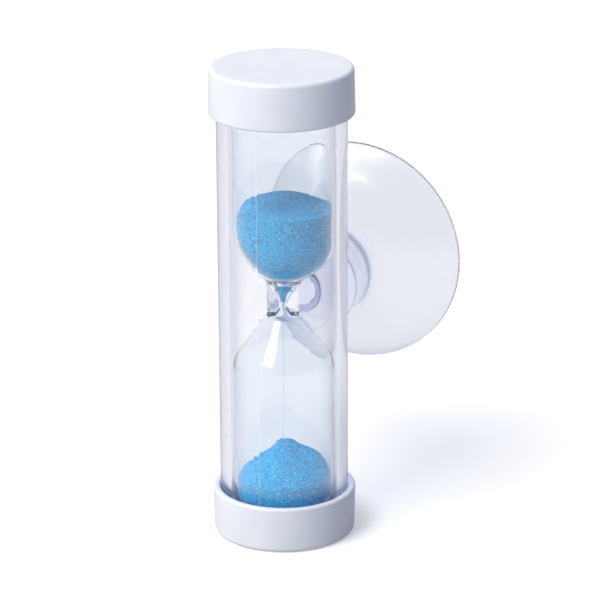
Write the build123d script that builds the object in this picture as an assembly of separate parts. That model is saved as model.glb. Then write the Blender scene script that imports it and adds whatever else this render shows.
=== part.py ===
from build123d import *
import math
import os

# A two-way sand timer that hangs on a wall by a suction cup. Sizes are in millimetres.
# Origin: centre of the lower cap's underside. +Z is up, and the suction cup points along +Y.

# Whole timer
overall_height = 90.0
swivel_height = overall_height / 2  # the waist, and the cup's axis, halfway up so that both ends work

# Clear outer tube
tube_outer_radius = 12.0
tube_wall = 2.0

# End caps, two of the same moulding
cap_height = 8.8
cap_end_wall = 1.6
cap_skirt_wall = 1.35  # at the open rim
cap_draft = 0.2  # the closed end is this much smaller in radius than the rim
cap_edge_round = 0.8
cap_rim_round = 0.35
cap_glue_gap = 0.05  # between the skirt and the tube
spigot_height = 3.0  # ring inside the tube that centres the cap
spigot_wall = 1.2
spigot_gap = 0.1
spigot_rim_round = 0.3

# Foam pads that hold the glass endwise
pad_thickness = 2.5
pad_gap = 0.2

# Blown glass bulb
glass_radius = 9.4
glass_wall = 0.6
glass_end_wall = 0.8
glass_end_round = 4.0
waist_radius = 3.0
throat_radius = 0.5
throat_length = 1.0
waist_below = 2.3  # straight part of the waist, down from the middle
waist_above = 4.35
lower_cone_angle = 38.0  # outside slopes, measured from the vertical
upper_cone_angle = 60.0
lower_shoulder_round = 4.0
upper_shoulder_round = 8.7
waist_lower_blend = 2.2
waist_upper_blend = 3.4
cone_wall = 0.5  # of the lower cone, square to it
funnel_angle = 22.0  # inside the waist, above the throat
funnel_mouth_round = 1.1
lower_funnel_length = 1.6  # below the throat, down to the lower cone's inside
lower_funnel_round = 0.8

# Filling hole and its plug, in the upper end of the glass
plug_radius = 2.0
plug_length = 2.2
plug_gap = 0.02

# Sand
sand_gap = 0.05  # between the sand and the glass
upper_sand_depth = 18.6  # from the middle of the timer to the upper surface
heap_peak = 13.5  # above the glass's inside floor
heap_edge = 6.5  # where the heap meets the wall, above the same floor
heap_tip_round = 4.0
stream_radius = 0.35

# Suction cup with its stud, one soft moulding
swivel_gap = 0.1  # between the stud's neck and its hole in the tube
stud_neck_radius = 2.9
stud_head_radius = 4.4
stud_head_edge = 1.0  # thickness at the head's edge
stud_head_dome = 0.8
stud_head_front_round = 0.5
stud_head_back_round = 0.3
head_play = 0.15  # from the head's back edge to the tube's inner wall
hub_gap = 0.3  # from the hub's face to the tube's outer wall
hub_radius = 9.3
hub_rear_radius = 8.4
hub_length = 9.6
hub_edge_round = 0.8
hub_blend = 2.5
rim_radius = 21.55
dome_depth = 12.0
dome_bulge = 2.2  # rise of the dome's back over a straight cone
rim_edge = 0.6
rim_land = 0.9  # width of the flat ring that seals on the wall
web_thickness = 2.4  # on the axis, behind the hub

# Worked out from the above
tube_inner_radius = tube_outer_radius - tube_wall
cap_rim_radius = tube_outer_radius + cap_glue_gap + cap_skirt_wall
glass_bottom = cap_end_wall + pad_thickness
glass_top = overall_height - glass_bottom
cavity_bottom = glass_bottom + glass_end_wall
cavity_top = glass_top - glass_end_wall
cavity_radius = glass_radius - glass_wall
swivel_plane = Plane(origin=(0, 0, swivel_height), x_dir=(1, 0, 0), z_dir=(0, 0, 1))


def outline(corners):
    """Closed face from corners given as (radius, distance along the axis, rounding)."""
    path = FilletPolyline(
        [(radius, along) for radius, along, rounding in corners],
        radius=[rounding for radius, along, rounding in corners],
        close=True,
    )
    return make_face(path)


def turned(face, plane=Plane.XZ):
    """Turn a face once round the plane's own y axis."""
    return revolve(plane * face, axis=Axis(plane.origin, plane.y_dir))


def rise(radius_change, angle_from_axis):
    """Height that a cone takes to change its radius."""
    return radius_change / math.tan(math.radians(angle_from_axis))


def end_cap():
    """Cap for the lower end, with a spigot that leaves a groove for the tube."""
    bore = tube_outer_radius + cap_glue_gap
    spigot_outer = tube_inner_radius - spigot_gap
    spigot_inner = spigot_outer - spigot_wall
    spigot_top = cap_end_wall + spigot_height
    corners = [
        (0, 0, 0),
        (cap_rim_radius - cap_draft, 0, cap_edge_round),
        (cap_rim_radius, cap_height, cap_rim_round),
        (bore, cap_height, cap_rim_round),
        (bore, cap_end_wall, 0),
        (spigot_outer, cap_end_wall, 0),
        (spigot_outer, spigot_top, spigot_rim_round),
        (spigot_inner, spigot_top, spigot_rim_round),
        (spigot_inner, cap_end_wall, 0),
        (0, cap_end_wall, 0),
    ]
    return turned(outline(corners))


def end_pad():
    """Foam disc in the lower cap's spigot, under the glass."""
    spigot_inner = tube_inner_radius - spigot_gap - spigot_wall
    return Pos(0, 0, cap_end_wall) * Cylinder(
        spigot_inner - pad_gap, pad_thickness, align=(Align.CENTER, Align.CENTER, Align.MIN)
    )


def other_end(shape):
    """The same piece at the other end of the timer, turned over about its middle."""
    return shape.rotate(Axis((0, 0, swivel_height), (1, 0, 0)), 180)


def outer_tube():
    """Clear tube between the caps, with the stud's hole through the wall on the +Y side."""
    length = overall_height - 2 * cap_end_wall
    upright = (Align.CENTER, Align.CENTER, Align.MIN)
    wall = Cylinder(tube_outer_radius, length, align=upright)
    wall -= Cylinder(tube_inner_radius, length, align=upright)
    hole = Cylinder(stud_neck_radius + swivel_gap, tube_outer_radius, align=upright)
    return Pos(0, 0, cap_end_wall) * wall - Pos(0, 0, swivel_height) * Rot(-90, 0, 0) * hole


def glass_outside():
    """Outer form of the glass: a lower bulb with a conical shoulder and a bowl-like upper one."""
    waist_low = swivel_height - waist_below
    waist_high = swivel_height + waist_above
    spread = glass_radius - waist_radius
    corners = [
        (0, glass_bottom, 0),
        (glass_radius, glass_bottom, glass_end_round),
        (glass_radius, waist_low - rise(spread, lower_cone_angle), lower_shoulder_round),
        (waist_radius, waist_low, waist_lower_blend),
        (waist_radius, waist_high, waist_upper_blend),
        (glass_radius, waist_high + rise(spread, upper_cone_angle), upper_shoulder_round),
        (glass_radius, glass_top, glass_end_round),
        (0, glass_top, 0),
    ]
    return turned(outline(corners))


def cavity(gap=0.0):
    """Room inside the glass, or the same room smaller by a gap all round."""
    radius = cavity_radius - gap
    throat = throat_radius - gap
    throat_low = swivel_height - throat_length / 2
    throat_high = swivel_height + throat_length / 2
    mouth_high = swivel_height + waist_above
    mouth = throat + math.tan(math.radians(funnel_angle)) * (mouth_high - throat_high)
    cone_low = swivel_height - waist_below - rise(glass_radius - waist_radius, lower_cone_angle)
    cone_reach = glass_radius - cone_wall / math.cos(math.radians(lower_cone_angle)) - gap
    kink_low = throat_low - lower_funnel_length
    kink = cone_reach - math.tan(math.radians(lower_cone_angle)) * (kink_low - cone_low)
    corners = [
        (0, cavity_bottom + gap, 0),
        (radius, cavity_bottom + gap, glass_end_round - glass_wall),
        (radius, cone_low - rise(radius - cone_reach, lower_cone_angle), lower_shoulder_round - glass_wall),
        (kink, kink_low, lower_funnel_round),
        (throat, throat_low, throat_radius),
        (throat, throat_high, throat_radius),
        (mouth, mouth_high, funnel_mouth_round),
        (radius, mouth_high + rise(radius - mouth, upper_cone_angle), upper_shoulder_round - glass_wall),
        (radius, cavity_top - gap, glass_end_round - glass_wall),
        (0, cavity_top - gap, 0),
    ]
    return turned(outline(corners))


def upright_rod(radius, low, high):
    """Round rod on the timer's axis."""
    return Pos(0, 0, low) * Cylinder(radius, high - low, align=(Align.CENTER, Align.CENTER, Align.MIN))


def glass_bulb():
    """Blown glass with its cavity and the filling hole in the upper end."""
    hole = upright_rod(plug_radius + plug_gap, cavity_top - 1, glass_top + 1)
    return glass_outside() - cavity() - hole


def filling_plug():
    """Rubber plug, flush with the glass's upper end."""
    return upright_rod(plug_radius, glass_top - plug_length, glass_top)


def upper_sand():
    """Sand still above the throat, down to the throat's upper end."""
    throat_high = swivel_height + throat_length / 2
    layer = upright_rod(glass_radius, throat_high, swivel_height + upper_sand_depth)
    return cavity(sand_gap) & layer


def lower_sand():
    """Heap that has run through, with its peak under the throat."""
    corners = [
        (0, cavity_bottom, 0),
        (cavity_radius, cavity_bottom, 0),
        (cavity_radius, cavity_bottom + heap_edge, 0),
        (0, cavity_bottom + heap_peak, 0),
    ]
    heap = fillet_tip(turned(outline(corners)))
    return cavity(sand_gap) & heap


def heap_slope():
    """Angle that the heap's side makes with the level."""
    return math.atan((heap_peak - heap_edge) / cavity_radius)


def heap_ball():
    """Height of the centre of the ball that rounds the heap's tip."""
    return cavity_bottom + heap_peak - heap_tip_round / math.cos(heap_slope())


def fillet_tip(cone):
    """Take the point off a heap with a ball that is tangent to its slope."""
    slope = heap_slope()
    centre = heap_ball()
    tangent_radius = heap_tip_round * math.sin(slope)
    tangent_height = centre + heap_tip_round * math.cos(slope)
    below = upright_rod(glass_radius, 0, tangent_height)
    ball = Pos(0, 0, centre) * Sphere(heap_tip_round)
    cap = ball & upright_rod(tangent_radius + 1, tangent_height, tangent_height + heap_tip_round)
    return (cone & below) + cap


def heap_top():
    """Height of the heap's rounded top."""
    return heap_ball() + heap_tip_round


def falling_sand():
    """Thin stream from the throat's upper end down to the heap."""
    return upright_rod(stream_radius, heap_top(), swivel_height + throat_length / 2)


def suction_cup():
    """Stud, hub and cup in one, turned about the swivel axis; distances run out along +Y."""
    head_back = math.sqrt(tube_inner_radius**2 - stud_head_radius**2) - head_play
    head_edge = head_back - stud_head_edge
    hub_front = tube_outer_radius + hub_gap
    hub_rear = hub_front + hub_length
    rim = hub_rear + dome_depth
    hollow_floor = hub_rear + web_thickness
    face = make_face(
        [
            TangentArc((0, head_edge - stud_head_dome), (stud_head_radius, head_edge), tangent=(1, 0)),
            Polyline(
                (stud_head_radius, head_edge),
                (stud_head_radius, head_back),
                (stud_neck_radius, head_back),
                (stud_neck_radius, hub_front),
                (hub_radius, hub_front),
                (hub_rear_radius, hub_rear),
            ),
            SagittaArc((hub_rear_radius, hub_rear), (rim_radius, rim - rim_edge), -dome_bulge),
            Polyline((rim_radius, rim - rim_edge), (rim_radius, rim), (rim_radius - rim_land, rim)),
            TangentArc((0, hollow_floor), (rim_radius - rim_land, rim), tangent=(1, 0)),
            Line((0, hollow_floor), (0, head_edge - stud_head_dome)),
        ]
    ).face()
    roundings = [
        ((stud_head_radius, head_edge), stud_head_front_round),
        ((stud_head_radius, head_back), stud_head_back_round),
        ((hub_radius, hub_front), hub_edge_round),
        ((hub_rear_radius, hub_rear), hub_blend),
    ]
    for corner, radius in roundings:
        face = rounded(face, corner, radius)
    return turned(face, swivel_plane)


def rounded(face, corner, radius):
    """Round the corner of a flat face that lies nearest to a point."""
    vertex = face.vertices().sort_by_distance((*corner, 0))[0]
    return face.fillet_2d(radius, [vertex])


parts = {
    "outer_tube": outer_tube(),
    "bottom_cap": end_cap(),
    "top_cap": other_end(end_cap()),
    "bottom_pad": end_pad(),
    "top_pad": other_end(end_pad()),
    "glass_bulb": glass_bulb(),
    "filling_plug": filling_plug(),
    "upper_sand": upper_sand(),
    "lower_sand": lower_sand(),
    "falling_sand": falling_sand(),
    "suction_cup": suction_cup(),
}

os.makedirs("parts", exist_ok=True)
for node, shape in parts.items():
    export_step(shape, f"parts/{node}.step")
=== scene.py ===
import bpy
import math
import random
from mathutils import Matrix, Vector


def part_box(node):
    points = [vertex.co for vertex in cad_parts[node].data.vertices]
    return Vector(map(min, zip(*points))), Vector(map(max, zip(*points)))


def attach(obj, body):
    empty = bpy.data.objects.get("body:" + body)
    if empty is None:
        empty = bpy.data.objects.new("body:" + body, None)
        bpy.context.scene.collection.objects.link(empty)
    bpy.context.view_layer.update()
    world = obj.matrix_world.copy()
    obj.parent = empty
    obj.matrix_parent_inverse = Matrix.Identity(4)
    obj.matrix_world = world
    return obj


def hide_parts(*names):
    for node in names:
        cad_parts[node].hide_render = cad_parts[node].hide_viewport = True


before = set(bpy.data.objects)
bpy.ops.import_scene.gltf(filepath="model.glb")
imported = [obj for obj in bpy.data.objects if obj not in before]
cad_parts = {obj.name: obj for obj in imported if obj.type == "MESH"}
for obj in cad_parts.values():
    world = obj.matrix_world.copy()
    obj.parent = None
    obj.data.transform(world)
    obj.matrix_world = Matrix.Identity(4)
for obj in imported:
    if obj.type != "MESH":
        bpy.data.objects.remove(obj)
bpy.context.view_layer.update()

mm = 0.001
poleRadius = 2e-6  # a ring this small is merged to one point
mergeDistance = 8e-6
print("frame loaded:", len(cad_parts), "nodes")

# places read from the frame
tubeLow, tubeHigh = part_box("outer_tube")
glassLow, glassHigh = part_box("glass_bulb")
bottomLow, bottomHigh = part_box("bottom_cap")
topLow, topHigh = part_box("top_cap")
cupLow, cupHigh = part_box("suction_cup")
upperLow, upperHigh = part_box("upper_sand")
heapLow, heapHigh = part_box("lower_sand")
streamLow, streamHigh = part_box("falling_sand")
middle = (cupLow.z + cupHigh.z) / 2  # height of the waist and of the cup's axis
tubeRadius = tubeHigh.x
glassRadius = glassHigh.x

viewAngle = math.radians(25.2)  # how far round from the front the camera stands
leftward = Vector((-math.cos(viewAngle), -math.sin(viewAngle), 0))
nearward = Vector((math.sin(viewAngle), -math.cos(viewAngle), 0))


# helpers for making meshes
def deselectAll():
    if bpy.context.object and bpy.context.object.mode != "OBJECT":
        bpy.ops.object.mode_set(mode="OBJECT")
    bpy.ops.object.select_all(action="DESELECT")


def makeActive(piece):
    deselectAll()
    piece.select_set(True)
    bpy.context.view_layer.objects.active = piece


def roundedPath(corners, turnStep=6.0, longest=1.0):
    # outline through (radius, height, rounding) corners in metres, with its arcs and no run over the longest
    points = []
    for i, (radius, height, rounding) in enumerate(corners):
        here = Vector((radius, height))
        if rounding == 0 or i in (0, len(corners) - 1):
            points.append(here)
            continue
        back = (Vector(corners[i - 1][:2]) - here).normalized()
        ahead = (Vector(corners[i + 1][:2]) - here).normalized()
        between = back.angle(ahead)
        centre = here + (back + ahead).normalized() * rounding / math.sin(between / 2)
        start = here + back * rounding / math.tan(between / 2) - centre
        end = here + ahead * rounding / math.tan(between / 2) - centre
        turn = start.angle_signed(end)
        count = max(2, round(abs(math.degrees(turn)) / turnStep))
        for k in range(count + 1):
            angle = -turn * k / count
            points.append(centre + Vector((start.x * math.cos(angle) - start.y * math.sin(angle),
                                           start.x * math.sin(angle) + start.y * math.cos(angle))))
    path = [points[0]]
    for point in points[1:]:
        runs = max(1, math.ceil((point - path[-1]).length / longest))
        first = path[-1]
        path += [first.lerp(point, k / runs) for k in range(1, runs + 1)]
    return [(max(p.x, poleRadius), p.y) for p in path]


def turnPiece(name, path, steps):
    # one ring of the outline at a time, as on a lathe: a circle, then extruded and scaled to each next point
    deselectAll()
    radius, height = path[0]
    bpy.ops.mesh.primitive_circle_add(vertices=steps, radius=radius, location=(0, 0, height))
    piece = bpy.context.object
    piece.name = piece.data.name = name
    bpy.ops.object.mode_set(mode="EDIT")
    bpy.ops.mesh.select_all(action="SELECT")
    for (oldRadius, oldHeight), (newRadius, newHeight) in zip(path, path[1:]):
        rise = (0, 0, newHeight - oldHeight)
        bpy.ops.mesh.extrude_edges_move(TRANSFORM_OT_translate={"value": rise})
        grow = newRadius / oldRadius
        bpy.ops.transform.resize(value=(grow, grow, 1), center_override=(0, 0, newHeight))
    bpy.ops.mesh.select_all(action="SELECT")
    bpy.ops.mesh.remove_doubles(threshold=mergeDistance)
    bpy.ops.mesh.normals_make_consistent(inside=False)
    bpy.ops.object.mode_set(mode="OBJECT")
    settle(piece)
    return piece


def settle(piece):
    makeActive(piece)
    bpy.ops.object.transform_apply(location=True, rotation=True, scale=True)


def smooth(piece, angle=35):
    makeActive(piece)
    bpy.ops.object.shade_smooth_by_angle(angle=math.radians(angle))


def pull(piece, place, move, reach):
    # a soft pull on the surface round one place, as with proportional editing
    nearest = min(piece.data.vertices, key=lambda vertex: (vertex.co - place).length_squared).index
    makeActive(piece)
    bpy.ops.object.mode_set(mode="EDIT")
    bpy.ops.mesh.select_mode(type="VERT")
    bpy.ops.mesh.select_all(action="DESELECT")
    bpy.ops.object.mode_set(mode="OBJECT")
    piece.data.vertices[nearest].select = True
    bpy.ops.object.mode_set(mode="EDIT")
    bpy.ops.transform.translate(value=move, use_proportional_edit=True,
                                proportional_edit_falloff="SMOOTH", proportional_size=reach)
    bpy.ops.object.mode_set(mode="OBJECT")


def finishPiece(piece, body, slot, material, *nodes):
    piece.data.materials.clear()
    piece.data.materials.append(material)
    settle(piece)
    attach(piece, body)
    if nodes:
        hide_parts(*nodes)


# helpers for materials
def toLinear(hexColour):
    values = [int(hexColour[i:i + 2], 16) / 255 for i in (1, 3, 5)]
    linear = [v / 12.92 if v <= 0.04045 else ((v + 0.055) / 1.055) ** 2.4 for v in values]
    return (*linear, 1.0)


def addNode(material, kind, settings=None, **links):
    # one node with its settings; a link is input name = (node, output name) or a plain value
    tree = material.node_tree
    node = tree.nodes.new(kind)
    for key, value in (settings or {}).items():
        setattr(node, key, value)
    for name, value in links.items():
        key = int(name[1:]) if name[0] == "i" and name[1:].isdigit() else name.replace("_", " ")
        if isinstance(value, tuple) and len(value) == 2 and hasattr(value[0], "outputs"):
            tree.links.new(value[0].outputs[value[1]], node.inputs[key])
        else:
            node.inputs[key].default_value = value
    return node


def newMaterial(name):
    material = bpy.data.materials.new(name)
    material.use_nodes = True
    material.node_tree.nodes.clear()
    return material


def setRamp(node, stops):
    ramp = node.color_ramp
    while len(ramp.elements) < len(stops):
        ramp.elements.new(0.5)
    for element, (place, colour) in zip(ramp.elements, stops):
        element.position = place
        element.color = colour if isinstance(colour, tuple) else toLinear(colour)


def clearShader(material, surface, tint):
    # lamps and bounced light pass straight through, so what is inside is lit as behind thin clear walls
    path = addNode(material, "ShaderNodeLightPath")
    either = addNode(material, "ShaderNodeMath", {"operation": "MAXIMUM"},
                     i0=(path, "Is Shadow Ray"), i1=(path, "Is Diffuse Ray"))
    through = addNode(material, "ShaderNodeBsdfTransparent", Color=toLinear(tint))
    mix = addNode(material, "ShaderNodeMixShader", i0=(either, 0), i1=(surface, 0), i2=(through, 0))
    addNode(material, "ShaderNodeOutputMaterial", Surface=(mix, 0))


def acrylicTube():
    # extruded acrylic: clear and hard, with faint die lines along its length
    look = {"tint": "#FAFAFB", "edgeShade": "#D4D8E3", "edgeFrom": 0.3, "edgeTo": 0.55, "shade": "#F6F7FB",
            "ior": 1.49, "roughness": 0.0, "lineSpacing": 1.111, "stretch": 0.012, "lineDepth": 0.012,
            "lineStrength": 0.05, "highlightTurn": 67, "highlightWidth": 0.14, "highlightDepth": 0.2, "highlightShare": 0.22,
            "highlightColour": "#F2F6FA"}
    material = newMaterial("clear extruded acrylic")
    place = addNode(material, "ShaderNodeTexCoord")
    along = addNode(material, "ShaderNodeMapping", Vector=(place, "Object"), Scale=(1, 1, look["stretch"]))
    lines = addNode(material, "ShaderNodeTexNoise", Vector=(along, 0), Scale=1000 / look["lineSpacing"],
                    Detail=3, Roughness=0.6)
    bump = addNode(material, "ShaderNodeBump", Height=(lines, 0), Strength=look["lineStrength"],
                   Distance=look["lineDepth"] * mm)
    # the sides are painted darker: partly for the longer run of light through the wall, partly as painted
    # shade
    slant = addNode(material, "ShaderNodeLayerWeight", Blend=0.5)
    tint = addNode(material, "ShaderNodeValToRGB", Fac=(slant, "Facing"))
    setRamp(tint, [(look["edgeFrom"], look["tint"]), (look["edgeTo"], look["edgeShade"])])
    clear = addNode(material, "ShaderNodeBsdfPrincipled", Normal=(bump, 0), Base_Color=(tint, 0),
                    Roughness=look["roughness"], IOR=look["ior"], Transmission_Weight=1.0)
    # the deepest die line gets a painted highlight: a white line painted along the groove, for the light it
    # catches
    leftTurn = math.atan2(leftward.y, leftward.x)
    turned = addNode(material, "ShaderNodeMapping", Vector=(place, "Object"),
                     Rotation=(0, 0, -leftTurn - math.radians(look["highlightTurn"])))
    around = addNode(material, "ShaderNodeSeparateXYZ", Vector=(turned, 0))
    off = addNode(material, "ShaderNodeMath", {"operation": "ABSOLUTE"}, i0=(around, "Y"))
    near = addNode(material, "ShaderNodeMapRange", Value=(off, 0), From_Min=0,
                   From_Max=look["highlightWidth"] * mm, To_Min=look["highlightShare"], To_Max=0)
    front = addNode(material, "ShaderNodeMath", {"operation": "GREATER_THAN"}, i0=(around, "X"),
                    i1=tubeRadius - look["highlightDepth"] * mm)
    highlightLine = addNode(material, "ShaderNodeMath", {"operation": "MULTIPLY"}, i0=(near, 0), i1=(front, 0))
    white = addNode(material, "ShaderNodeBsdfDiffuse", Color=toLinear(look["highlightColour"]))
    surface = addNode(material, "ShaderNodeMixShader", i0=(highlightLine, 0), i1=(clear, 0), i2=(white, 0))
    clearShader(material, surface, look["shade"])
    return material


def blownGlass():
    # soda-lime glass worked in a flame: smooth, with a slow ripple
    look = {"tint": "#F8FBFD", "shade": "#F9FAFD", "ior": 1.5, "roughness": 0.0, "ripple": 6.0,
            "rippleStrength": 0.25, "rippleDepth": 0.05}
    material = newMaterial("blown soda-lime glass")
    place = addNode(material, "ShaderNodeTexCoord")
    ripple = addNode(material, "ShaderNodeTexNoise", Vector=(place, "Object"),
                     Scale=1000 / look["ripple"], Detail=2, Roughness=0.4)
    bump = addNode(material, "ShaderNodeBump", Height=(ripple, 0), Strength=look["rippleStrength"],
                   Distance=look["rippleDepth"] * mm)
    surface = addNode(material, "ShaderNodeBsdfPrincipled", Normal=(bump, 0),
                      Base_Color=toLinear(look["tint"]), Roughness=look["roughness"], IOR=look["ior"],
                      Transmission_Weight=1.0)
    clearShader(material, surface, look["shade"])
    return material


def softPvc():
    # plasticised PVC, injection moulded: clear with a cold tint and a little haze
    look = {"tint": "#ECEDF1", "edgeShade": "#B6C4EE", "edgeFrom": 0.62, "edgeTo": 0.9, "thickTint": "#C6D2F2",
            "thickShare": 0.7, "thickBehind": 15, "thickEnd": 11, "shade": "#DDE0E8", "ior": 1.53,
            "roughness": 0.22, "flow": 9.0, "flowStrength": 0.2, "flowDepth": 0.1}
    material = newMaterial("clear moulded soft PVC")
    place = addNode(material, "ShaderNodeTexCoord")
    flow = addNode(material, "ShaderNodeTexNoise", Vector=(place, "Object"),
                   Scale=1000 / look["flow"], Detail=2, Roughness=0.5)
    bump = addNode(material, "ShaderNodeBump", Height=(flow, 0), Strength=look["flowStrength"],
                   Distance=look["flowDepth"] * mm)
    # blue in the thick hub and stud, where light runs long in the plastic; the edges are painted darker blue,
    # partly for the longer run through the wall, partly as painted shade
    slant = addNode(material, "ShaderNodeLayerWeight", Blend=0.5)
    tint = addNode(material, "ShaderNodeValToRGB", Fac=(slant, "Facing"))
    setRamp(tint, [(look["edgeFrom"], look["tint"]), (look["edgeTo"], look["edgeShade"])])
    along = addNode(material, "ShaderNodeSeparateXYZ", Vector=(place, "Object"))
    thick = addNode(material, "ShaderNodeMapRange", {"interpolation_type": "SMOOTHSTEP"}, Value=(along, "Y"),
                    From_Min=cupHigh.y - look["thickBehind"] * mm, From_Max=cupHigh.y - look["thickEnd"] * mm,
                    To_Min=look["thickShare"], To_Max=0)
    colour = addNode(material, "ShaderNodeMix", {"data_type": "RGBA"}, i0=(thick, 0), i6=(tint, 0),
                     i7=toLinear(look["thickTint"]))
    surface = addNode(material, "ShaderNodeBsdfPrincipled", Normal=(bump, 0), Base_Color=(colour, 2),
                      Roughness=look["roughness"], IOR=look["ior"], Transmission_Weight=1.0)
    clearShader(material, surface, look["shade"])
    return material


def capPlastic():
    # white ABS, injection moulded: satin, with a very fine moulded grain and faint handling marks
    look = {"white": "#E9EBEF", "cool": "#E4E7ED", "patch": 8, "roughness": 0.32, "duller": 0.05,
            "glossier": 0.04, "grain": 0.35, "grainStrength": 0.25, "grainDepth": 0.01, "ior": 1.53}
    material = newMaterial("white moulded ABS")
    place = addNode(material, "ShaderNodeTexCoord")
    cloud = addNode(material, "ShaderNodeTexNoise", Vector=(place, "Object"),
                    Scale=1000 / look["patch"], Detail=3)
    colour = addNode(material, "ShaderNodeValToRGB", Fac=(cloud, 0))
    setRamp(colour, [(0.35, look["cool"]), (0.65, look["white"])])
    grain = addNode(material, "ShaderNodeTexNoise", Vector=(place, "Object"),
                    Scale=1000 / look["grain"], Detail=2)
    gloss = addNode(material, "ShaderNodeMapRange", Value=(cloud, 0), From_Min=0.3, From_Max=0.7,
                    To_Min=look["roughness"] - look["glossier"], To_Max=look["roughness"] + look["duller"])
    bump = addNode(material, "ShaderNodeBump", Height=(grain, 0), Strength=look["grainStrength"],
                   Distance=look["grainDepth"] * mm)
    surface = addNode(material, "ShaderNodeBsdfPrincipled", Base_Color=(colour, 0), Roughness=(gloss, 0),
                      Normal=(bump, 0), IOR=look["ior"])
    addNode(material, "ShaderNodeOutputMaterial", Surface=(surface, 0))
    return material


def dyedSand():
    # dyed quartz sand: matt blue grains, with a painted glint: a pale spot painted at the middle of some
    # grains, for the light that clear grains catch
    look = {"deep": "#0692CC", "pale": "#28C6F0", "paintedGlint": "#98E6FF", "glintFrom": 0.87, "glintWidth": 0.45,
            "grain": 0.27, "grainStrength": 0.8, "grainDepth": 0.12, "roughness": 0.9, "specular": 0.2}
    material = newMaterial("dyed quartz sand")
    place = addNode(material, "ShaderNodeTexCoord")
    grains = addNode(material, "ShaderNodeTexVoronoi", Vector=(place, "Object"),
                     Scale=1000 / look["grain"])
    pick = addNode(material, "ShaderNodeSeparateColor", Color=(grains, "Color"))
    colour = addNode(material, "ShaderNodeValToRGB", Fac=(pick, 0))
    setRamp(colour, [(0.0, look["deep"]), (0.6, look["pale"])])
    # some grains get a pale spot at their middle: painted glints
    clear = addNode(material, "ShaderNodeMath", {"operation": "GREATER_THAN"}, i0=(pick, 1),
                    i1=look["glintFrom"])
    glintSpot = addNode(material, "ShaderNodeMath", {"operation": "LESS_THAN"}, i0=(grains, "Distance"),
                    i1=look["glintWidth"])
    glints = addNode(material, "ShaderNodeMath", {"operation": "MULTIPLY"}, i0=(clear, 0), i1=(glintSpot, 0))
    mixed = addNode(material, "ShaderNodeMix", {"data_type": "RGBA"}, i0=(glints, 0), i6=(colour, 0),
                    i7=toLinear(look["paintedGlint"]))
    bump = addNode(material, "ShaderNodeBump", {"invert": True}, Height=(grains, "Distance"),
                   Strength=look["grainStrength"], Distance=look["grainDepth"] * mm)
    surface = addNode(material, "ShaderNodeBsdfPrincipled", Base_Color=(mixed, 2),
                      Roughness=look["roughness"], Normal=(bump, 0), Specular_IOR_Level=look["specular"])
    addNode(material, "ShaderNodeOutputMaterial", Surface=(surface, 0))
    return material


def cellFoam():
    # closed-cell polyethylene foam: matt, with small round cells
    look = {"skin": "#E6E5E0", "cell": "#D2D1CB", "cellSize": 0.6, "cellStrength": 0.6, "cellDepth": 0.15,
            "roughness": 0.9}
    material = newMaterial("white closed-cell foam")
    place = addNode(material, "ShaderNodeTexCoord")
    cells = addNode(material, "ShaderNodeTexVoronoi", Vector=(place, "Object"),
                    Scale=1000 / look["cellSize"])
    colour = addNode(material, "ShaderNodeValToRGB", Fac=(cells, "Distance"))
    setRamp(colour, [(0.1, look["cell"]), (0.6, look["skin"])])
    bump = addNode(material, "ShaderNodeBump", Height=(cells, "Distance"),
                   Strength=look["cellStrength"], Distance=look["cellDepth"] * mm)
    surface = addNode(material, "ShaderNodeBsdfPrincipled", Base_Color=(colour, 0), Normal=(bump, 0),
                      Roughness=look["roughness"])
    addNode(material, "ShaderNodeOutputMaterial", Surface=(surface, 0))
    return material


def plugRubber():
    # white silicone rubber, moulded: soft sheen with a fine speckle
    look = {"white": "#DEDDD8", "speck": "#C9C8C2", "speckSize": 0.4, "speckStrength": 0.2,
            "speckDepth": 0.03, "roughness": 0.55}
    material = newMaterial("white silicone rubber")
    place = addNode(material, "ShaderNodeTexCoord")
    speck = addNode(material, "ShaderNodeTexNoise", Vector=(place, "Object"),
                    Scale=1000 / look["speckSize"], Detail=4)
    colour = addNode(material, "ShaderNodeValToRGB", Fac=(speck, 0))
    setRamp(colour, [(0.3, look["speck"]), (0.5, look["white"])])
    bump = addNode(material, "ShaderNodeBump", Height=(speck, 0), Strength=look["speckStrength"],
                   Distance=look["speckDepth"] * mm)
    surface = addNode(material, "ShaderNodeBsdfPrincipled", Base_Color=(colour, 0), Normal=(bump, 0),
                      Roughness=look["roughness"])
    addNode(material, "ShaderNodeOutputMaterial", Surface=(surface, 0))
    return material


# the pieces
def makeTube():
    sizes = {"wall": 2.0, "edge": 0.25, "holeRadius": 3.0, "steps": 256, "longest": 6, "lineDepth": 0.05}
    # degrees round, and the share of the full depth
    lines = {67.0: 1.0, 61.5: 0.35, 113.5: 0.4, 131.0: 0.25, 205.0: 0.5, 331.0: 0.35}
    outer, inner = tubeRadius, tubeRadius - sizes["wall"] * mm
    low, high, edge = tubeLow.z, tubeHigh.z, sizes["edge"] * mm
    path = roundedPath([(inner, (low + high) / 2, 0), (inner, low, edge), (outer, low, edge),
                        (outer, high, edge), (inner, high, edge), (inner, (low + high) / 2, 0)],
                       turnStep=30, longest=sizes["longest"] * mm)
    tube = turnPiece("outerTube", path, sizes["steps"])
    dieLines(tube, outer, lines, sizes["lineDepth"] * mm)
    deselectAll()
    bpy.ops.mesh.primitive_cylinder_add(vertices=64, radius=sizes["holeRadius"] * mm, depth=tubeRadius,
                                        location=(0, tubeRadius, middle), rotation=(math.pi / 2, 0, 0))
    cutter = bpy.context.object
    makeActive(tube)
    cut = tube.modifiers.new("stud hole", "BOOLEAN")
    cut.operation = "DIFFERENCE"
    cut.solver = "EXACT"
    cut.object = cutter
    bpy.ops.object.modifier_apply(modifier=cut.name)
    bpy.data.objects.remove(cutter)
    smooth(tube, 30)
    finishPiece(tube, "timer", "clear_acrylic", acrylicTube(), "outer_tube")


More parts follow.
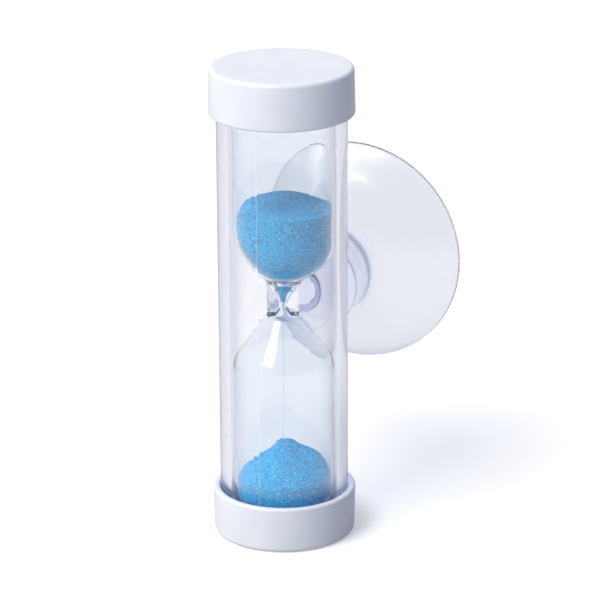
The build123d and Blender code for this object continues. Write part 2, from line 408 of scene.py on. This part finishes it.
def dieLines(tube, outer, lines, depth):
    # fine grooves along the outside, as an extruder's die leaves them
    columns = {}
    for vertex in tube.data.vertices:
        if vertex.co.xy.length > outer - 0.01 * mm:
            turn = math.degrees(math.atan2(vertex.co.y, vertex.co.x)) % 360
            columns.setdefault(round(turn, 2), []).append(vertex.index)
    # counted from the side to the camera's left
    start = math.degrees(math.atan2(nearward.y, nearward.x)) - 90
    for place, strength in lines.items():
        turn = (start + place) % 360
        nearest = min(columns, key=lambda column: abs((column - turn + 180) % 360 - 180))
        makeActive(tube)
        bpy.ops.object.mode_set(mode="EDIT")
        bpy.ops.mesh.select_all(action="DESELECT")
        bpy.ops.object.mode_set(mode="OBJECT")
        for index in columns[nearest]:
            tube.data.vertices[index].select = True
        bpy.ops.object.mode_set(mode="EDIT")
        shrink = 1 - depth * strength / outer
        bpy.ops.transform.resize(value=(shrink, shrink, 1), center_override=(0, 0, 0))
        bpy.ops.object.mode_set(mode="OBJECT")


def makeCap(name, low, high, upsideDown):
    sizes = {"endWall": 1.6, "draft": 0.2, "edgeRound": 0.8, "rimRound": 0.45,
             "spigotHeight": 3.0, "spigotWall": 1.2, "spigotGap": 0.1, "tubeWall": 2.0, "glueGap": 0.05,
             "grooveRound": 0.1, "spigotRound": 0.3, "footRound": 0.15, "steps": 192}
    rimRadius = high.x
    capHeight = high.z - low.z
    bore = tubeRadius + sizes["glueGap"] * mm
    floor = sizes["endWall"] * mm
    spigotOut = tubeRadius - (sizes["tubeWall"] + sizes["spigotGap"]) * mm
    spigotIn = spigotOut - sizes["spigotWall"] * mm
    spigotTop = floor + sizes["spigotHeight"] * mm
    rimRound, grooveRound = sizes["rimRound"] * mm, sizes["grooveRound"] * mm
    spigotRound, footRound = sizes["spigotRound"] * mm, sizes["footRound"] * mm
    corners = [(0, 0, 0), (rimRadius - sizes["draft"] * mm, 0, sizes["edgeRound"] * mm),
               (rimRadius, capHeight, rimRound), (bore, capHeight, rimRound), (bore, floor, grooveRound),
               (spigotOut, floor, grooveRound), (spigotOut, spigotTop, spigotRound),
               (spigotIn, spigotTop, spigotRound), (spigotIn, floor, footRound), (0, floor, 0)]
    cap = turnPiece(name, roundedPath(corners, turnStep=9, longest=3 * mm), sizes["steps"])
    if upsideDown:
        makeActive(cap)
        bpy.ops.transform.rotate(value=math.pi, orient_axis="X", center_override=(0, 0, 0))
        bpy.ops.transform.translate(value=(0, 0, high.z))
    settle(cap)
    smooth(cap, 40)
    return cap


def glassCorners():
    # the CAD's outline: outside up, round the filling hole, and down the inside
    sizes = {"wall": 0.6, "coneWall": 0.5, "endWall": 0.8, "endRound": 4.0, "waist": 3.0, "throat": 0.5,
             "throatHalf": 0.5, "below": 2.3, "above": 4.35, "lowerCone": 38, "upperCone": 60,
             "lowerRound": 4.0, "upperRound": 8.7, "lowerBlend": 2.2, "upperBlend": 3.4, "funnel": 22,
             "mouthRound": 1.1, "lowerFunnel": 1.6, "kinkRound": 0.8, "hole": 2.02, "holeRound": 0.1}
    s = {key: value * mm for key, value in sizes.items()}
    radius, inside = glassRadius, glassRadius - s["wall"]
    low, high = glassLow.z, glassHigh.z

    def rise(change, angle):
        return change / math.tan(math.radians(angle))

    spread = radius - s["waist"]
    waistLow, waistHigh = middle - s["below"], middle + s["above"]
    coneLow = waistLow - rise(spread, sizes["lowerCone"])
    outside = [(0, low, 0), (radius, low, s["endRound"]), (radius, coneLow, s["lowerRound"]),
               (s["waist"], waistLow, s["lowerBlend"]), (s["waist"], waistHigh, s["upperBlend"]),
               (radius, waistHigh + rise(spread, sizes["upperCone"]), s["upperRound"]),
               (radius, high, s["endRound"]), (s["hole"], high, s["holeRound"])]
    floor, ceiling = low + s["endWall"], high - s["endWall"]
    innerEnd = s["endRound"] - s["wall"]
    throatLow, throatHigh = middle - s["throatHalf"], middle + s["throatHalf"]
    mouth = s["throat"] + math.tan(math.radians(sizes["funnel"])) * (waistHigh - throatHigh)
    coneReach = radius - s["coneWall"] / math.cos(math.radians(sizes["lowerCone"]))
    kinkLow = throatLow - s["lowerFunnel"]
    kink = coneReach - math.tan(math.radians(sizes["lowerCone"])) * (kinkLow - coneLow)
    insideUp = [(0, floor, 0), (inside, floor, innerEnd),
                (inside, coneLow - rise(inside - coneReach, sizes["lowerCone"]), s["lowerRound"] - s["wall"]),
                (kink, kinkLow, s["kinkRound"]),
                (s["throat"], throatLow, s["throat"]), (s["throat"], throatHigh, s["throat"]),
                (mouth, waistHigh, s["mouthRound"]),
                (inside, waistHigh + rise(inside - mouth, sizes["upperCone"]), s["upperRound"] - s["wall"]),
                (inside, ceiling, innerEnd), (s["hole"], ceiling, s["holeRound"])]
    return outside, insideUp


def ease(low, high, value):
    share = min(1.0, max(0.0, (value - low) / (high - low)))
    return share * share * (3 - 2 * share)


def lean(piece, name, weightOf, move):
    # moves every vertex by its own share of the move
    group = piece.vertex_groups.new(name=name)
    for vertex in piece.data.vertices:
        share = weightOf(vertex.co)
        if share > 0:
            group.add([vertex.index], share, "REPLACE")
    makeActive(piece)
    for axis, amount in zip("XY", move):
        shift = piece.modifiers.new(name + axis, "DISPLACE")
        shift.direction = axis
        shift.mid_level = 0
        shift.strength = amount
        shift.vertex_group = name
        bpy.ops.object.modifier_apply(modifier=shift.name)


def warp(piece):
    # the glassblower's unevenness, the same for the glass and the sand in it: the upper bulb sits a little
    # to one side, its bowl is pulled in unevenly below, and all of it swells slowly
    sizes = {"aside": 0.3, "leftIn": 0.95, "rightIn": 0.3, "sideEase": 7, "swell": 0.12, "swellSize": 9}
    # where each one grows or fades, above the waist
    heights = {"aside": (2, 9), "left": (2.3, 6), "leftEnd": (8.5, 15), "right": (2.3, 5), "rightEnd": (6, 9)}

    def rising(name, co):
        low, high = heights[name]
        return ease(middle + low * mm, middle + high * mm, co.z)

    def toSide(distance):
        return ease(0, sizes["sideEase"] * mm, distance)

    def upperBulb(co):
        return rising("aside", co)

    def bowlLeft(co):
        return rising("left", co) * (1 - rising("leftEnd", co)) * toSide(co.dot(leftward))

    def bowlRight(co):
        return rising("right", co) * (1 - rising("rightEnd", co)) * toSide(-co.dot(leftward))

    lean(piece, "aside", upperBulb, -leftward.xy * sizes["aside"] * mm)
    lean(piece, "bowl left", bowlLeft, -leftward.xy * sizes["leftIn"] * mm)
    lean(piece, "bowl right", bowlRight, leftward.xy * sizes["rightIn"] * mm)
    texture = bpy.data.textures.get("hand blown") or bpy.data.textures.new("hand blown", "CLOUDS")
    texture.noise_scale = sizes["swellSize"] * mm
    texture.noise_depth = 0
    texture.cloud_type = "COLOR"
    makeActive(piece)
    swell = piece.modifiers.new("hand blown", "DISPLACE")
    swell.texture = texture
    swell.texture_coords = "GLOBAL"
    swell.direction = "RGB_TO_XYZ"
    swell.space = "LOCAL"
    swell.mid_level = 0.5
    swell.strength = sizes["swell"] * 2 * mm
    bpy.ops.object.modifier_apply(modifier=swell.name)


def makeGlass():
    outside, insideUp = glassCorners()
    path = roundedPath(outside + insideUp[::-1], turnStep=5, longest=1.0 * mm)
    glass = turnPiece("glassBulb", path, bulbSteps)
    warp(glass)
    smooth(glass, 50)
    finishPiece(glass, "timer", "blown_glass", blownGlass(), "glass_bulb")


def cavityPath(gap, low, high):
    # the inside of the glass less a gap, between two heights
    insideUp = glassCorners()[1]
    path = roundedPath(insideUp, turnStep=5, longest=0.4 * mm)
    return [(max(radius - gap, 0.01 * mm), height) for radius, height in path if low < height < high]


def makeUpperSand():
    sizes = {"gap": 0.05, "ring": 0.35, "throatHalf": 0.5, "rimBelow": 0.1, "looseDepth": 3}
    # leftward and nearward in parts of the rim's radius, then the rise and the reach
    slumps = [(0, -0.7, 0.6, 7), (-0.9, 0, 0.6, 5), (0.98, 0, -1.5, 5), (0.6, 0.7, -0.8, 5),
              (0, 0.1, -0.5, 5)]
    throat = middle + sizes["throatHalf"] * mm
    sides = cavityPath(sizes["gap"] * mm, throat, upperHigh.z - sizes["rimBelow"] * mm)
    rim = sides[-1][0]
    count = int(rim / (sizes["ring"] * mm))
    top = [(max(rim * (1 - k / count), poleRadius), upperHigh.z) for k in range(count + 1)]
    sand = turnPiece("upperSand", [(poleRadius, throat)] + sides + top, bulbSteps)
    for left, near, up, reach in slumps:
        place = Vector((0, 0, upperHigh.z)) + leftward * rim * left + nearward * rim * near
        pull(sand, place, (0, 0, up * mm), reach * mm)
    roughen(sand, upperHigh.z - sizes["looseDepth"] * mm)
    warp(sand)
    smooth(sand, 60)
    finishPiece(sand, "timer", "blue_sand", sandMaterial, "upper_sand")
    return sand


def roughen(sand, above):
    # the loose surface is uneven, at the size of a few grains, and calm against the glass
    sizes = {"lump": 0.7, "lumpHeight": 0.35, "fromGlass": 1.0, "fade": 0.4}
    loose = sand.vertex_groups.new(name="loose")
    limit = glassRadius - sizes["fromGlass"] * mm
    for vertex in sand.data.vertices:
        inside = min(1.0, max(0.0, (limit - vertex.co.xy.length) / (sizes["fade"] * mm)))
        if vertex.co.z > above and inside > 0:
            loose.add([vertex.index], inside, "REPLACE")
    texture = bpy.data.textures.get("loose grains") or bpy.data.textures.new("loose grains", "CLOUDS")
    texture.noise_scale = sizes["lump"] * mm
    texture.noise_depth = 3
    makeActive(sand)
    lumps = sand.modifiers.new("lumps", "DISPLACE")
    lumps.texture = texture
    lumps.texture_coords = "GLOBAL"
    lumps.vertex_group = "loose"
    lumps.direction = "Z"
    lumps.strength = sizes["lumpHeight"] * mm
    bpy.ops.object.modifier_apply(modifier=lumps.name)


def makeHeap():
    sizes = {"gap": 0.05, "edge": 6.5, "crown": 0.9, "crownRound": 3.0, "ring": 0.3, "looseFrom": 5}
    # leftward, height, rise and reach
    slumps = [(-6.5, 14, 1.9, 5), (-2.2, 18, 0.8, 3.5), (-4.2, 18, 0.5, 3), (1.6, 18, 0.5, 2),
              (4.5, 16, -0.6, 3), (7.8, 13, -0.6, 3.5)]
    floor = heapLow.z
    edge = floor + sizes["edge"] * mm
    sides = cavityPath(sizes["gap"] * mm, floor + 0.01 * mm, edge)
    top = roundedPath([(sides[-1][0], edge, 0), (sizes["crown"] * mm, heapHigh.z, sizes["crownRound"] * mm),
                       (0, heapHigh.z, 0)], turnStep=3, longest=sizes["ring"] * mm)
    heap = turnPiece("lowerSand", [(poleRadius, sides[0][1])] + sides + top[1:], bulbSteps)
    for left, height, up, reach in slumps:
        pull(heap, Vector((0, 0, height * mm)) + leftward * left * mm, (0, 0, up * mm), reach * mm)
    roughen(heap, floor + sizes["looseFrom"] * mm)
    warp(heap)
    smooth(heap, 60)
    finishPiece(heap, "timer", "blue_sand", sandMaterial, "lower_sand")
    return heap


def oneGrain():
    sizes = {"radius": 0.1, "shape": (1.0, 0.8, 0.7)}
    deselectAll()
    bpy.ops.mesh.primitive_ico_sphere_add(subdivisions=1, radius=sizes["radius"] * mm)
    grain = bpy.context.object
    bpy.ops.object.mode_set(mode="EDIT")
    bpy.ops.mesh.select_all(action="SELECT")
    bpy.ops.transform.resize(value=sizes["shape"])
    bpy.ops.object.mode_set(mode="OBJECT")
    return grain


def scatter(name, places, body, slot, material, *nodes):
    # many grains in one piece, each a turned and scaled copy of the same one
    grain = oneGrain()
    copies = []
    for place, size in places:
        copy = grain.copy()
        copy.data = grain.data.copy()
        copy.location = place
        copy.rotation_euler = [chance.uniform(0, 6.28) for _ in range(3)]
        copy.scale = (size, size, size)
        bpy.context.scene.collection.objects.link(copy)
        copies.append(copy)
    bpy.data.objects.remove(grain)
    deselectAll()
    for copy in copies:
        copy.select_set(True)
    bpy.context.view_layer.objects.active = copies[0]
    bpy.ops.object.join()
    piece = bpy.context.object
    piece.name = piece.data.name = name
    finishPiece(piece, body, slot, material, *nodes)
    return piece


def makeStream():
    # grains falling from the throat to the heap, further apart as they speed up
    sizes = {"firstGap": 0.16, "faster": 1.012, "mostGap": 0.5, "spread": 0.12, "stopAbove": 0.3,
             "grain": (0.7, 1.15)}
    places = []
    height = streamHigh.z
    gap, spread = sizes["firstGap"] * mm, sizes["spread"] * mm
    while height > streamLow.z + sizes["stopAbove"] * mm:
        place = Vector((chance.gauss(0, spread), chance.gauss(0, spread), height))
        places.append((place, chance.uniform(*sizes["grain"])))
        height -= gap
        gap = min(gap * sizes["faster"], sizes["mostGap"] * mm)
    scatter("fallingSand", places, "timer", "blue_sand", sandMaterial, "falling_sand")


def makeLooseGrains(sands):
    # grains lying on the two surfaces, and a few that cling to the glass
    sizes = {"onEach": 700, "fromMiddle": 0.4, "fromGlass": 0.95, "nudge": 0.15, "lift": 0.04,
             "grain": (0.7, 1.3), "clinging": 70, "clingingAt": 0.78, "lowerHeights": (20, 32),
             "upperHeights": (65, 80), "clingingGrain": (0.4, 0.9)}
    nearest, furthest = sizes["fromMiddle"] * mm, glassRadius - sizes["fromGlass"] * mm
    nudge = sizes["nudge"]
    places = []
    for sand, above in sands:
        spots = [v.co for v in sand.data.vertices
                 if v.co.z > above and nearest < v.co.xy.length < furthest]
        for place in chance.sample(spots, sizes["onEach"]):
            move = Vector((chance.uniform(-nudge, nudge), chance.uniform(-nudge, nudge), sizes["lift"])) * mm
            places.append((place + move, chance.uniform(*sizes["grain"])))
    reach = glassRadius - sizes["clingingAt"] * mm
    for _ in range(sizes["clinging"]):
        angle = chance.uniform(0, 2 * math.pi)
        height = chance.choice([chance.uniform(*sizes["lowerHeights"]),
                                chance.uniform(*sizes["upperHeights"])]) * mm
        places.append((Vector((reach * math.cos(angle), reach * math.sin(angle), height)),
                       chance.uniform(*sizes["clingingGrain"])))
    scatter("looseGrains", places, "timer", "blue_sand", sandMaterial)


def makeCup():
    sizes = {"headRadius": 4.4, "neckRadius": 2.9, "headPlay": 0.15, "headEdge": 1.0,
             "shoulderRound": 0.5, "headRound": 0.3, "neckRound": 0.15, "hubGap": 0.3, "hubRadius": 9.3,
             "hubRear": 8.4, "hubLength": 9.6, "hubEdge": 0.8, "hubBlend": 2.5, "bulge": 2.2, "rimEdge": 0.6,
             "lipRound": 0.3, "landRound": 0.2, "land": 0.9, "landIn": 0.4, "landDeep": 0.45, "web": 2.4,
             "tubeWall": 2.0}
    steps = {"around": 192, "dome": 48, "head": 10, "hollow": 36}
    blendShare = 0.22  # how much of the dome the blend at the hub takes up
    s = {key: value * mm for key, value in sizes.items()}
    headBack = math.sqrt((tubeRadius - s["tubeWall"]) ** 2 - s["headRadius"] ** 2) - s["headPlay"]
    headFront = cupLow.y
    headShoulder = headBack - s["headEdge"]
    hubFront = tubeRadius + s["hubGap"]
    hubRear = hubFront + s["hubLength"]
    rim, rimRadius = cupHigh.y, cupHigh.x
    hollow = hubRear + s["web"]

    def arc(start, end, bulge, count):
        # points of a circular arc that rises by the bulge over its chord
        chord = Vector(end) - Vector(start)
        across = Vector((-chord.y, chord.x)).normalized()
        radius = (chord.length_squared / 4 + bulge * bulge) / (2 * abs(bulge))
        centre = (Vector(start) + Vector(end)) / 2 + across * (bulge - math.copysign(radius, bulge))
        first = Vector(start) - centre
        turn = first.angle_signed(Vector(end) - centre)
        points = []
        for k in range(1, count):
            angle = -turn * k / count
            points.append((centre.x + first.x * math.cos(angle) - first.y * math.sin(angle),
                           centre.y + first.x * math.sin(angle) + first.y * math.cos(angle)))
        return points

    land = rimRadius - s["land"]
    depth = rim - hollow
    hollowRadius = (land * land + depth * depth) / (2 * depth)
    dome = arc((s["hubRear"], hubRear), (rimRadius, rim - s["rimEdge"]), -s["bulge"], steps["dome"])
    pastBlend = int(len(dome) * blendShare)
    headRise = headShoulder - headFront
    headCurve = (s["headRadius"] ** 2 + headRise ** 2) / (2 * headRise)
    headAngle = math.asin(s["headRadius"] / headCurve)
    head = [(headCurve * math.sin(a), headFront + headCurve * (1 - math.cos(a)))
            for a in [headAngle * k / steps["head"] for k in range(steps["head"])]]
    front = roundedPath([(*head[-1], 0), (s["headRadius"], headShoulder, s["shoulderRound"]),
                         (s["headRadius"], headBack, s["headRound"]),
                         (s["neckRadius"], headBack, s["neckRound"]),
                         (s["neckRadius"], hubFront, s["neckRound"]),
                         (s["hubRadius"], hubFront, s["hubEdge"]),
                         (s["hubRear"], hubRear, s["hubBlend"]), (*dome[pastBlend], 0)],
                        turnStep=9, longest=0.7 * mm)
    dome = dome[pastBlend + 1:]
    lip = roundedPath([(*dome[-1], 0), (rimRadius, rim - s["rimEdge"], s["lipRound"]),
                       (rimRadius, rim, s["landRound"]), (land, rim, s["landRound"]),
                       (land - s["landIn"], rim - s["landDeep"], 0)],
                      turnStep=12, longest=0.6 * mm)
    edgeAngle = math.asin((land - s["landIn"]) / hollowRadius)
    inside = [(hollowRadius * math.sin(a), hollow + hollowRadius * (1 - math.cos(a)))
              for a in [edgeAngle * (1 - k / steps["hollow"]) for k in range(1, steps["hollow"] + 1)]]
    path = head[:-1] + front + dome[:-1] + lip + inside
    path = [(max(radius, poleRadius), along) for radius, along in path]
    cup = turnPiece("suctionCup", path, steps["around"])
    makeActive(cup)
    cup.rotation_euler = (-math.pi / 2, 0, 0)
    cup.location = (0, 0, middle)
    settle(cup)
    smooth(cup, 50)
    finishPiece(cup, "cup", "clear_pvc", softPvc(), "suction_cup")


chance = random.Random(7)
bulbSteps = 160  # sides of the glass and of the sand in it
sandMaterial = dyedSand()
makeTube()
print("tube made")
whitePlastic = capPlastic()
bottomCap = makeCap("bottomCap", bottomLow, bottomHigh, False)
finishPiece(bottomCap, "timer", "white_abs", whitePlastic, "bottom_cap")
topCap = makeCap("topCap", topLow, topHigh, True)
finishPiece(topCap, "timer", "white_abs", whitePlastic, "top_cap")
print("caps made")
makeGlass()
print("glass made")
upperSand = makeUpperSand()
lowerSand = makeHeap()
makeStream()
makeLooseGrains([(upperSand, upperHigh.z - 2.5 * mm), (lowerSand, heapLow.z + 6 * mm)])
print("sand made")
makeCup()
print("suction cup made")
foam = cellFoam()
for node, material in (("bottom_pad", foam), ("top_pad", foam), ("filling_plug", plugRubber())):
    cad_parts[node].data.materials.clear()
    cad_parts[node].data.materials.append(material)


# floor, light and camera
def makeFloor():
    # a white table lit from below as well, so the shadow on it stays pale; it lights the pieces less
    # than it shows
    look = {"size": 6, "white": 0.72, "glow": 0.24, "whiteOnPieces": 0.33, "glowOnPieces": 0.19,
            "glowSeen": 0.1, "glowColour": "#FFFDF8", "roughness": 0.9}
    deselectAll()
    bpy.ops.mesh.primitive_plane_add(size=look["size"], location=(0, 0, 0))
    floor = bpy.context.object
    floor.name = "floor"
    material = newMaterial("matt white table")
    path = addNode(material, "ShaderNodeLightPath")
    onPieces = addNode(material, "ShaderNodeMath", {"operation": "MAXIMUM"}, i0=(path, "Is Diffuse Ray"),
                       i1=(path, "Is Reflection Ray"))
    glow = addNode(material, "ShaderNodeMapRange", Value=(onPieces, 0),
                   To_Min=look["glow"], To_Max=look["glowOnPieces"])
    white = addNode(material, "ShaderNodeMapRange", Value=(onPieces, 0),
                    To_Min=look["white"], To_Max=look["whiteOnPieces"])
    seen = addNode(material, "ShaderNodeMath", {"operation": "MULTIPLY_ADD"}, i0=(path, "Is Camera Ray"),
                   i1=look["glowSeen"], i2=(glow, 0))
    surface = addNode(material, "ShaderNodeBsdfPrincipled", Base_Color=(white, 0),
                      Roughness=look["roughness"], Emission_Color=toLinear(look["glowColour"]),
                      Emission_Strength=(seen, 0), Specular_IOR_Level=0.0)
    addNode(material, "ShaderNodeOutputMaterial", Surface=(surface, 0))
    floor.data.materials.append(material)


def addLamp(name, turn, height, distance, width, tall, power, colour, mirrored):
    # turn is degrees to the left of the camera, seen from the object, and height is degrees up
    angle = viewAngle - math.radians(turn)
    up = math.radians(height)
    way = Vector((math.sin(angle) * math.cos(up), -math.cos(angle) * math.cos(up), math.sin(up)))
    target = Vector((0, 0, middle))
    lamp = bpy.data.lights.new(name, "AREA")
    lamp.shape = "RECTANGLE"
    lamp.size, lamp.size_y = width, tall
    lamp.energy = power
    lamp.color = toLinear(colour)[:3]
    holder = bpy.data.objects.new(name, lamp)
    holder.location = target + way * distance
    holder.rotation_euler = (-way).to_track_quat("-Z", "Y").to_euler()
    holder.visible_glossy = mirrored
    holder.visible_transmission = mirrored
    bpy.context.scene.collection.objects.link(holder)


def makeRoom():
    # white walls behind and to the left, and the dark side of the room at the front right
    look = {"walls": "#E3E3E5", "darkSide": "#304D7C", "darkTurn": 56, "darkRise": 0.25, "darkFrom": -0.15,
            "darkTo": 0.8, "seen": 1.45, "mirrored": 0.6, "lighting": 1.3}
    room = bpy.data.worlds.new("studio")
    bpy.context.scene.world = room
    room.use_nodes = True
    room.node_tree.nodes.clear()
    angle = viewAngle + math.radians(look["darkTurn"])
    way = addNode(room, "ShaderNodeTexCoord")
    facing = addNode(room, "ShaderNodeVectorMath", {"operation": "DOT_PRODUCT"}, i0=(way, "Generated"),
                     i1=(math.sin(angle), -math.cos(angle), look["darkRise"]))
    dark = addNode(room, "ShaderNodeMapRange", {"interpolation_type": "SMOOTHSTEP"}, Value=(facing, "Value"),
                   From_Min=look["darkFrom"], From_Max=look["darkTo"])
    colour = addNode(room, "ShaderNodeMix", {"data_type": "RGBA"}, i0=(dark, 0), i6=toLinear(look["walls"]),
                     i7=toLinear(look["darkSide"]))
    path = addNode(room, "ShaderNodeLightPath")
    # a diffuse ray counts as a reflected one too
    lit = addNode(room, "ShaderNodeMath", {"operation": "MULTIPLY_ADD"}, i0=(path, "Is Diffuse Ray"),
                  i1=look["lighting"] - look["mirrored"], i2=look["seen"])
    strength = addNode(room, "ShaderNodeMath", {"operation": "MULTIPLY_ADD"}, i0=(path, "Is Reflection Ray"),
                       i1=look["mirrored"] - look["seen"], i2=(lit, 0))
    light = addNode(room, "ShaderNodeBackground", Color=(colour, 2), Strength=(strength, 0))
    addNode(room, "ShaderNodeOutputWorld", Surface=(light, 0))


def makeLights():
    lamps = {"key softbox": {"turn": 46, "height": 56, "distance": 1.6, "width": 0.65, "tall": 0.75,
                             "power": 17, "colour": "#FFFDFA", "mirrored": True},
             "front fill": {"turn": 24, "height": 10, "distance": 1.8, "width": 1.2, "tall": 0.6,
                            "power": 4.6, "colour": "#F6F8FF", "mirrored": False}}
    for name, lamp in lamps.items():
        addLamp(name, **lamp)
    makeRoom()


def makeCamera():
    sizes = {"distance": 0.596, "elevation": 19.27, "lens": 193.3, "sensor": 36, "roll": -0.0052,
             "standUp": 0.1, "aimSide": 3.13, "aimUp": 0.11}
    up = math.radians(sizes["elevation"])
    back = Vector((math.sin(viewAngle) * math.cos(up), -math.cos(viewAngle) * math.cos(up), math.sin(up)))
    data = bpy.data.cameras.new("camera")
    data.lens = sizes["lens"]
    data.sensor_width = sizes["sensor"]
    data.clip_start = 0.01
    camera = bpy.data.objects.new("camera", data)
    target = Vector((0, 0, middle + sizes["standUp"] * mm))
    camera.location = target + back * sizes["distance"]
    aim = target - leftward * sizes["aimSide"] * mm + Vector((0, 0, sizes["aimUp"] * mm))
    turn = (aim - camera.location).to_track_quat("-Z", "Y").to_matrix().to_4x4()
    camera.rotation_euler = turn.to_euler()
    camera.rotation_euler.rotate_axis("Z", sizes["roll"])
    bpy.context.scene.collection.objects.link(camera)
    bpy.context.scene.camera = camera


makeFloor()
makeLights()
makeCamera()
scene = bpy.context.scene
scene.view_settings.view_transform = "Standard"
scene.cycles.max_bounces = 24
scene.cycles.transmission_bounces = 24
scene.cycles.transparent_max_bounces = 48
scene.cycles.caustics_reflective = False
scene.cycles.caustics_refractive = False
print("floor, lights and camera made")
